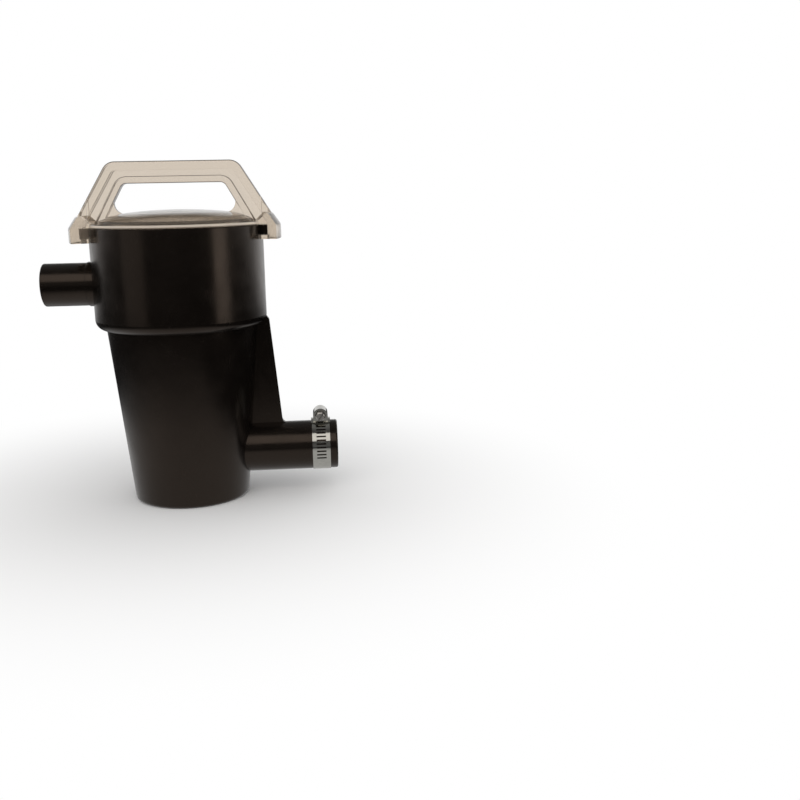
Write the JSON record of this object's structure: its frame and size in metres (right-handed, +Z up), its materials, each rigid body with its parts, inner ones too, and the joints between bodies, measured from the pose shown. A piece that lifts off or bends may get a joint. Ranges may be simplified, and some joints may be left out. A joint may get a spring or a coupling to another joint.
{
  "type": "pool pump strainer pot",
  "caption": "Tall black strainer pot with side inlet and outlet, clear bayonet lid with a carrying handle, a lift-out basket and a worm-drive hose clamp.",
  "frame": {"origin": "centre of the pot's flat bottom, on the pot's axis", "axes": "+Z up along the pot's axis, +X along the outlet towards the pump, -X along the inlet"},
  "size_m": [0.2554, 0.152, 0.3037],
  "materials": {
    "black_plastic": "satin gloss moulded",
    "clear_plastic": "clear with a light tan tint",
    "seal_rubber": "matte",
    "basket_plastic": "fine moulded grain",
    "clamp_steel": "rolled strip",
    "screw_steel": "bright plated"
  },
  "bodies": {
    "pot": {"pot_body": "black_plastic", "lid_seal": "seal_rubber", "strainer_basket": "basket_plastic", "clamp_band": "clamp_steel", "clamp_housing": "clamp_steel"},
    "lid": {"lid": "clear_plastic"},
    "bail": {"basket_bail": "basket_plastic"},
    "screw": {"clamp_screw": "screw_steel"}
  },
  "joints": [
    {"name": "lid_turn", "type": "hinge", "parent": "pot", "child": "lid", "pos_m": [0, 0, 0.2474], "axis": [0, 0, 1], "range_deg": [0, 45]},
    {"name": "bail_swing", "type": "hinge", "parent": "pot", "child": "bail", "pos_m": [0, 0, 0.167], "axis": [0, -1, 0], "range_deg": [0, 180]},
    {"name": "screw_turn", "type": "hinge", "parent": "pot", "child": "screw", "pos_m": [0.1213, 0, 0.0708], "axis": [0, -1, 0], "continuous": true}
  ]
}
